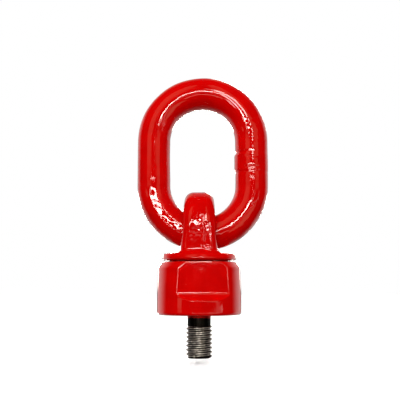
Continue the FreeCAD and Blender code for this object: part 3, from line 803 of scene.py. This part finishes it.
@dataclass
class ForgedEye:
    """The forged eye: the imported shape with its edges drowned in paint, and its flash line."""

    voxel: float = 0.19
    smoothing: int = 7
    flash_side: float = 1.05
    flash_rise: float = 0.20
    flash_half: float = 0.17
    panel_sink: float = 0.22
    lean: float = 0.06
    lean_top: float = 26.6
    mark_drop: float = 9.2
    flange_gap: float = 0.3
    edge_roll: float = 0.45

    def flange_foot(self) -> float:
        """Height of the flange's lower face, in millimetres."""
        return edges_in_mm("housing")[1].z + self.flange_gap

    def remesh(self) -> bpy.types.Object:
        """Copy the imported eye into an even, finely divided mesh."""
        source = bpy.data.objects["swivel_eye"]
        thing = add_object("eye_enamelled", source.data.copy())
        even = thing.modifiers.new("even", "REMESH")
        even.mode, even.voxel_size, even.use_smooth_shade = "VOXEL", self.voxel * MM, True
        soft = thing.modifiers.new("soft", "SMOOTH")
        soft.factor, soft.iterations = 0.5, self.smoothing
        bpy.context.view_layer.update()
        seen = thing.evaluated_get(bpy.context.evaluated_depsgraph_get())
        mesh = bpy.data.meshes.new_from_object(seen)
        thing.modifiers.clear()
        thing.data = mesh
        mesh.materials.clear()
        return thing

    def relief(self, points: Grid, normals: Grid) -> Grid:
        """Height of the forging's marks and the paint over the bare eye.

        Args:
            points: the mesh's points in millimetres.
            normals: its normals.

        Returns:
            How far each point moves along its normal, in millimetres.
        """
        flange = self.flange_foot()
        x, y, z = points.T
        above = smoothstep(flange + 0.1, flange + 0.9, z)
        front = smoothstep(0.30, 0.70, -normals[:, 1]) * smoothstep(-6.0, -7.5, y)
        rear = smoothstep(0.30, 0.70, normals[:, 1]) * smoothstep(6.0, 7.5, y)
        top = edges_in_mm("swivel_eye")[1].z - self.mark_drop
        line = self.flash_side + 0.12 * np.sin(z * 1.1) - 0.015 * (z - 24.0)
        swing = smoothstep(flange + 4.4, flange + 2.4, z) * 3.4
        line = line + swing * smoothstep(flange + 4.4, flange + 2.2, z)
        ridge = self.flash_rise * bump_at(x - line, 0.0, self.flash_half)
        ridge = ridge * plateau(z, flange + 2.2, top, 0.8)
        step = 0.07 * smoothstep(-0.5, 0.5, x - line) * plateau(z, flange + 3.0, top, 1.2)
        inside = plateau(x, line + 0.65, line + 2.3, 0.14) * plateau(z, flange + 4.3, top - 0.6, 0.3)
        rim = plateau(x, line + 0.45, line + 2.5, 0.14) * plateau(z, flange + 4.0, top - 0.3, 0.3) - inside
        marks = ridge + step + 0.09 * rim - self.panel_sink * inside
        height = marks * (front + 0.7 * rear)
        height += 0.014 * Ripple(8.0, 31).at(points) + 0.003 * Ripple(2.6, 37).at(points)
        mottle = bump_at(z, self.lean_top - 1.0, 1.6) * front
        height += (0.002 + 0.010 * mottle) * Ripple(1.1, 43).at(points)
        edge = smoothstep(flange + 1.1, flange, z)
        outside = smoothstep(9.5, 10.6, np.hypot(x, y))
        return height * above - self.edge_roll * outside * edge * edge

    def leaning(self, points: Grid) -> Grid:
        """How far each point of the front and the back moves towards the axis, in millimetres."""
        flange = self.flange_foot()
        z, y = points[:, 2], points[:, 1]
        below = np.clip(self.lean_top - z, 0.0, self.lean_top - flange - 2.4)
        below = below * smoothstep(flange + 0.6, flange + 2.4, z)
        return -np.sign(y) * self.lean * below * smoothstep(3.5, 7.5, np.abs(y))

    def assemble(self, finishes: Finishes) -> None:
        """Build, dress and mount the eye."""
        eye = self.remesh()
        points, normals = vectors_of(eye.data, "co") / MM, vectors_of(eye.data, "normal")
        moved = points + normals * self.relief(points, normals)[:, None]
        moved[:, 1] += self.leaning(points)
        move_points(eye.data, moved)
        finishes.dress(eye, "enamel_eye")
        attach(eye, "eye")
        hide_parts("swivel_eye")
        log.info("swivel eye: %d faces", len(eye.data.polygons))


# ---- base


@dataclass
class Housing:
    """The round housing with its two spanner flats, under enamel."""

    foot_radius: float = 12.75
    body_radius: float = 12.5
    top_radius: float = 11.3
    bevel_drop: float = 1.7
    flat: float = 10.05
    ledge: float = 4.3
    hollow: float = 1.9
    shelf_slope: float = 0.7
    shelf_curl: float = 1.4
    shelf_reach: float = 3.0
    crease: float = 0.16
    turn: float = 7.0
    edge: float = 0.28
    bead: float = 0.03
    foot_round: float = 0.85
    columns: int = 540
    pin_side: float = 4.6
    pin_height: float = 1.9
    pin_radius: float = 0.75
    inner: tuple[tuple[float, float], ...] = (
        *((8.95, 15.74), (8.95, 14.74), (7.45, 14.74), (7.45, 15.74), (5.5, 15.74)),
        *((5.5, 12.74), (7.95, 12.74), (7.95, 4.4), (8.45, 4.4), (8.45, 0.0)),
    )

    def wall(self, angle: Grid, z: Grid, top: float) -> Grid:
        """Distance of the housing's skin from the axis.

        Args:
            angle: direction round the axis, 0 at the right.
            z: height above the seat.
            top: height of the housing.

        Returns:
            The radius at each place, in millimetres.
        """
        bevel = top - self.bevel_drop
        side = self.foot_radius + (self.body_radius - self.foot_radius) * smoothstep(self.ledge, bevel, z)
        slope = (self.body_radius - self.top_radius) / self.bevel_drop
        side = soft_min(side, self.top_radius + slope * (top - z), 0.30)
        lip = np.clip((self.edge - (top - z)) / self.edge, 0, 1)
        side = side - self.edge * 0.7 * (1 - np.sqrt(np.clip(1 - lip**2, 0, 1)))
        foot = np.clip((self.foot_round - z) / self.foot_round, 0, 1)
        side = side - self.foot_round * (1 - np.sqrt(np.clip(1 - foot**2, 0, 1)))
        below = np.clip(self.ledge + self.hollow - z, -1.0, self.hollow)
        curl = 1 - np.sqrt(1 - np.clip(below / self.hollow, 0, 1) ** 2)
        shelf = self.flat + self.shelf_slope * below + self.shelf_curl * curl
        plane = -soft_min(np.full_like(z, -self.flat), -shelf, self.crease)
        plane = plane + self.shelf_reach * smoothstep(self.ledge + 0.08, self.ledge - 0.18, z)
        facing = np.abs(np.sin(angle - math.radians(self.turn)))
        cut = plane / np.maximum(facing, 0.2)
        skin = soft_min(side, cut, self.edge)
        foot_line = bump_at(z, self.ledge + self.hollow + 0.1, 0.22) * (cut < side)
        bead = 0.2 * bump_at(side - cut, 0.10, 0.20) + foot_line
        bead = bead + bump_at(z, top - 0.42, 0.22)
        brink = bump_at(z, self.ledge + 0.02, 0.15) * (self.flat + self.hollow < side * facing)
        bead = bead + 1.6 * brink
        return skin + self.bead * bead

    def build(self) -> bpy.types.Object:
        """Build the housing's closed mesh."""
        top = edges_in_mm("housing")[1].z
        angle = np.linspace(0, 2 * math.pi, self.columns, endpoint=False)
        stops = (0.0, self.foot_round, self.ledge - 0.6, self.ledge + 0.6)
        stops += (self.ledge + self.hollow + 0.7, top - 1.0, top)
        counts = (12, 18, 26, 26, 40, 20)
        heights = np.unique(np.concatenate([np.linspace(*part) for part in zip(stops, stops[1:], counts)]))
        a, z = np.meshgrid(angle, heights)
        radius = self.wall(a, z, top)
        skin = round_axis(a, radius, z)
        relief = 0.008 * Ripple(9.0, 51).at(skin) + 0.0015 * Ripple(2.8, 53).at(skin)
        low_band = smoothstep(2.6, 0.6, skin[:, 2])
        relief += 0.02 * low_band * smoothstep(0.3, 1.2, Ripple(3.4, 59).at(skin))
        radius = radius + relief.reshape(radius.shape) * plateau(z, 0.1, top - 0.1, 0.1)
        radius = radius - self.pin_dimple(a, z, radius)
        rings = [round_axis(angle, r, height) for r, height in self.inner]
        points = np.concatenate([round_axis(a, radius, z), *rings])
        faces = grid_faces(len(heights) + len(self.inner), self.columns, True)
        thing = new_mesh("housing_enamelled", points, faces, Shading.SMOOTH)
        self.keep_inner_edges(thing, len(heights))
        return thing

    def keep_inner_edges(self, thing: bpy.types.Object, skin_rows: int) -> None:
        """Mark the turned edges inside as sharp."""
        first = (skin_rows - 1) * self.columns
        sharp = thing.data.attributes.new("sharp_edge", "BOOLEAN", "EDGE")
        for edge in thing.data.edges:
            a, b = edge.vertices
            ring = a // self.columns == b // self.columns
            sharp.data[edge.index].value = ring and min(a, b) >= first + self.columns

    def pin_dimple(self, angle: Grid, z: Grid, radius: Grid) -> Grid:
        """Depth of the sunken lock pin's end in the skin, at the back."""
        turned = angle - math.radians(self.turn)
        side, depth = radius * np.cos(turned), radius * np.sin(turned)
        away = np.hypot(side - self.pin_side, z - self.pin_height)
        return 0.22 * smoothstep(self.pin_radius + 0.12, self.pin_radius - 0.12, away) * (depth > 0)

    def assemble(self, finishes: Finishes) -> None:
        """Build, dress and mount the housing."""
        housing = self.build()
        finishes.dress(housing, "enamel_housing")
        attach(housing, "base")
        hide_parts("housing")
        log.info("housing: %d faces", len(housing.data.polygons))


@dataclass
class ThreadedStud:
    """The stud: a right-hand thread, a relief neck and the head that closes the housing."""

    radius: float = 4.0
    pitch: float = 1.25
    depth: float = 0.64
    neck_radius: float = 3.5
    neck_length: float = 3.1
    neck_fillet: float = 0.8
    head_radius: float = 8.45
    head_foot: float = 0.2
    point: float = 0.7
    cap_radius: float = 0.4
    columns: int = 144
    step: float = 0.045

    def thread(self, angle: Grid, z: Grid, tip: float) -> Grid:
        """Radius of the thread's flanks, crests and roots.

        Args:
            angle: direction round the axis.
            z: height.
            tip: height of the stud's end.

        Returns:
            The radius at each place, in millimetres.
        """
        phase = (z / self.pitch - angle / (2 * math.pi) + 0.30) % 1.0
        away = np.abs(phase - 0.5) * 2
        flank = np.clip((away - 0.10) / 0.66, 0, 1)
        root = self.radius - self.depth * (0.25 * flank + 0.75 * flank * flank * (3 - 2 * flank))
        fade = smoothstep(-self.neck_length + 0.2, -self.neck_length - 0.5, z)
        root = self.neck_radius - 0.02 + (root - self.neck_radius + 0.02) * fade
        point = self.radius - self.point + (z - tip) * 1.0
        shoulder = self.neck_radius + 2.0 * np.clip(-self.neck_length + 0.25 - z, 0, None)
        return soft_min(soft_min(root, point, 0.12), shoulder, 0.10)

    def build(self) -> bpy.types.Object:
        """Build the stud's closed mesh."""
        low, high = edges_in_mm("threaded_stud")
        tip, top = low.z, high.z
        angle = np.linspace(0, 2 * math.pi, self.columns, endpoint=False)
        levels = np.arange(tip, -self.neck_length + self.step / 2, self.step)
        a, z = np.meshgrid(angle, levels)
        radius = self.thread(a, z, tip)
        place = round_axis(a, radius, z)
        wear = 0.020 * Ripple(1.9, 61).at(place) + 0.010 * Ripple(0.8, 67).at(place)
        crest = smoothstep(self.radius - 0.45, self.radius - 0.05, radius)
        nick = bump_at(z, tip + 0.75, 0.5) * bump_at(a, math.radians(245), 0.12)
        radius = radius - np.abs(wear.reshape(radius.shape)) * crest - 0.35 * nick
        rings = [round_axis(angle, self.cap_radius, tip), round_axis(a, radius, z)]
        fillet = np.linspace(0, math.pi / 2, 7)
        neck = [(self.neck_radius, -self.neck_length + 0.3)]
        for t in fillet:
            r = self.neck_radius + self.neck_fillet * (1 - math.cos(t))
            neck.append((r, self.head_foot - self.neck_fillet * (1 - math.sin(t))))
        neck += [
            (self.head_radius - 0.1, self.head_foot),
            (self.head_radius, self.head_foot + 0.1),
            (self.head_radius, top),
            (self.cap_radius, top),
        ]
        rings += [round_axis(angle, r, height) for r, height in neck]
        points = np.concatenate(rings)
        rows = len(points) // self.columns
        faces = grid_faces(rows, self.columns, False)
        faces.append(tuple(range(self.columns))[::-1])
        faces.append(tuple((rows - 1) * self.columns + c for c in range(self.columns)))
        return new_mesh("stud_threaded", points, faces, Shading.SMOOTH)

    def assemble(self, finishes: Finishes) -> None:
        """Build, dress and mount the stud."""
        stud = self.build()
        finishes.dress(stud, "blackened_stud")
        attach(stud, "base")
        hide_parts("threaded_stud")
        log.info("threaded stud: %d faces", len(stud.data.polygons))


# ---- bearing


@dataclass
class Bearing:
    """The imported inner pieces, which keep their shapes and get their finishes."""

    finishes_by_node: dict[str, str] = field(
        default_factory=lambda: {
            "upper_race": "ground_race",
            "lower_race": "ground_race",
            "ball_cage": "bronze",
            "journal_bush": "bronze",
            "retaining_nut": "blackened_nut",
            "nut_pin": "ground_race",
            "stud_lock_pin": "enamel_housing",
            "dust_seal": "seal_rubber",
        }
    )

    def assemble(self, nodes: dict[str, bpy.types.Object], finishes: Finishes) -> None:
        """Dress each piece.

        Args:
            nodes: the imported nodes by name.
            finishes: the ready-made materials.
        """
        for name, thing in nodes.items():
            finish = "polished_ball" if name.startswith(("ball_0", "ball_1")) else None
            finish = finish or self.finishes_by_node.get(name)
            if finish:
                finishes.dress(thing, finish)
                log.info("%s: %s", name, finish)


# ---- studio


AMBER = (1.0, 0.88, 0.55)
STRAW = (1.0, 0.90, 0.75)
CREAM = (1.0, 0.92, 0.82)
IVORY = (1.0, 0.94, 0.88)
PEARL = (1.0, 0.94, 0.86)
HONEY = (1.0, 0.88, 0.60)


@dataclass(frozen=True)
class Panel:
    """A bright shape that the enamel mirrors.

    Args:
        across: sideways place, as a slope from straight ahead.
        up: upward place, as a slope.
        half_width: half its width, as a slope.
        half_height: half its height, as a slope.
        edge: softness of its border.
        power: its brightness.
        tint: its colour.
    """

    across: float
    up: float
    half_width: float
    half_height: float
    edge: float
    power: float
    tint: Colour = AMBER


@dataclass
class Studio:
    """Camera, floor, lamps and the white surroundings."""

    target: Place = (0.25, 0.0, 34.9)
    distance: float = 225.0
    elevation: float = -7.0
    view_angle: float = 30.6
    floor_drop: float = 1.5
    light_below: float = 0.30
    light_above: float = 0.95
    panels: tuple[Panel, ...] = (
        Panel(-0.62, 0.82, 0.42, 0.73, 0.12, 0.55),
        Panel(0.68, 0.32, 0.34, 0.24, 0.10, 0.50),
        Panel(0.85, -0.45, 0.50, 0.30, 0.10, 0.90),
        Panel(-0.27, 1.05, 0.19, 0.60, 0.08, 0.50),
        Panel(0.27, 1.05, 0.19, 0.60, 0.08, 0.50),
        Panel(0.27, 0.31, 0.17, 0.13, 0.06, 0.70),
        Panel(-0.42, 0.05, 0.13, 0.045, 0.03, 7.0, CREAM),
        Panel(0.41, 0.05, 0.10, 0.045, 0.03, 5.0, CREAM),
        Panel(1.25, 0.00, 0.25, 0.08, 0.05, 0.6, STRAW),
        Panel(-1.45, 0.00, 0.35, 0.08, 0.05, 0.7, HONEY),
        Panel(1.30, -0.09, 0.90, 0.035, 0.02, 2.6, PEARL),
        Panel(0.10, -0.09, 0.45, 0.035, 0.02, 0.9, PEARL),
        Panel(0.00, -0.34, 0.28, 0.05, 0.03, 3.0, STRAW),
        Panel(-0.03, 0.085, 0.31, 0.035, 0.02, 40.0, IVORY),
        Panel(0.11, 0.365, 0.08, 0.145, 0.03, 17.0, IVORY),
        Panel(-0.30, -0.15, 0.10, 0.06, 0.03, 14.0, IVORY),
    )

    def camera(self) -> None:
        """Place the camera."""
        lens = bpy.data.cameras.new("camera")
        lens.sensor_width = 36.0
        lens.angle = math.radians(self.view_angle)
        lens.clip_start = 0.005
        rig = add_object("camera", lens)
        tilt = math.radians(self.elevation)
        aim = Vector(self.target) * MM
        away = Vector((0, -math.cos(tilt), math.sin(tilt))) * self.distance * MM
        rig.location = aim + away
        rig.rotation_euler = (-away).to_track_quat("-Z", "Y").to_euler()
        bpy.context.scene.camera = rig

    def floor(self) -> None:
        """Lay the floor just under the stud's end."""
        low = edges_in_mm("threaded_stud")[0].z - self.floor_drop
        reach = 3000.0
        square = [(-reach, -reach, low), (reach, -reach, low), (reach, reach, low), (-reach, reach, low)]
        floor = new_mesh("studio_floor", np.array(square), [(0, 1, 2, 3)], Shading.FLAT)
        floor.data.materials.append(PaleFloor().make())
        floor.visible_glossy = floor.visible_diffuse = False

    def lamp(self, name: str, place: Place, size: float, power: float) -> None:
        """Hang a square soft lamp that points at the object and isn't mirrored in it.

        Args:
            name: its name.
            place: where it hangs, in millimetres.
            size: its side, in millimetres.
            power: in watts.
        """
        light = bpy.data.lights.new(name, "AREA")
        light.size, light.energy = size * MM, power
        rig = add_object(name, light)
        rig.location = Vector(place) * MM
        aim = Vector(self.target) * MM - rig.location
        rig.rotation_euler = aim.to_track_quat("-Z", "Y").to_euler()
        rig.visible_glossy = False

    def surroundings(self, effects: Effects) -> None:
        """White room, dark in front, with the panels that the enamel mirrors."""
        world = bpy.data.worlds.new("white_room")
        bpy.context.scene.world = world
        world.use_nodes = True
        s = NodeSheet(world.node_tree)
        background = world.node_tree.nodes["Background"]
        where = s.add("TexCoord").outputs["Generated"]
        parts = s.add("SeparateXYZ", Vector=where)
        rising = s.ramp(parts.outputs[1], 0.15, 0.65)
        falling = s.ramp(parts.outputs[1], 0.82, 0.97, 1.0, 0.10)
        white = s.times(rising, falling)
        steep = s.ramp(s.math("ABSOLUTE", parts.outputs[2]), 0.35, 0.70, 1.0, 0.20)
        white = s.times(white, steep)
        room = s.mix(white, (0.0, 0.0, 0.0), (1.15, 1.11, 1.08))
        ahead = s.times(s.math("ABSOLUTE", parts.outputs[1]), -1.0)
        folded = s.add("CombineXYZ", X=parts.outputs[0], Y=ahead, Z=parts.outputs[2]).outputs[0]
        for panel in self.panels:
            place = {"Across": panel.across, "Up": panel.up, "Edge": panel.edge}
            size = {"Half_Width": panel.half_width, "Half_Height": panel.half_height}
            mask = effects.place(s, "panel", Vector=folded, **place, **size)
            room = s.mix(mask.outputs["Mask"], room, tuple(panel.power * c for c in panel.tint), "LIGHTEN")
        path = s.add("LightPath")
        level = s.ramp(parts.outputs[2], -0.7, 0.7, self.light_below, self.light_above)
        soft = s.mix(level, (0.0, 0.0, 0.0), (1.0, 1.0, 1.0))
        lit = s.mix(path.outputs["Is Glossy Ray"], soft, room)
        seen = s.mix(path.outputs["Is Camera Ray"], lit, (1.0, 1.0, 1.0))
        s.feed(background.inputs["Color"], seen)
        s.feed(background.inputs["Strength"], 1.0)

    def build(self, effects: Effects) -> None:
        """Set up the whole studio."""
        self.camera()
        self.floor()
        self.surroundings(effects)
        self.lamp("key", (-60.0, -300.0, 180.0), 220.0, 0.60)
        self.lamp("back_key", (60.0, 300.0, 180.0), 220.0, 0.45)
        view = bpy.context.scene.view_settings
        view.view_transform, view.look = "Standard", "None"
        log.info("studio: camera, floor, lamps and surroundings")


# ---- the part


def main() -> None:
    """Build the looks piece by piece."""
    logging.basicConfig(level=logging.INFO, format="%(message)s")
    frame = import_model()
    effects = Effects()
    effects.build()
    finishes = Finishes(effects)
    finishes.build()
    OvalLink().assemble(finishes)
    ForgedEye().assemble(finishes)
    Housing().assemble(finishes)
    ThreadedStud().assemble(finishes)
    Bearing().assemble(frame["nodes"], finishes)
    Studio().build(effects)


if __name__ == "__main__":
    main()
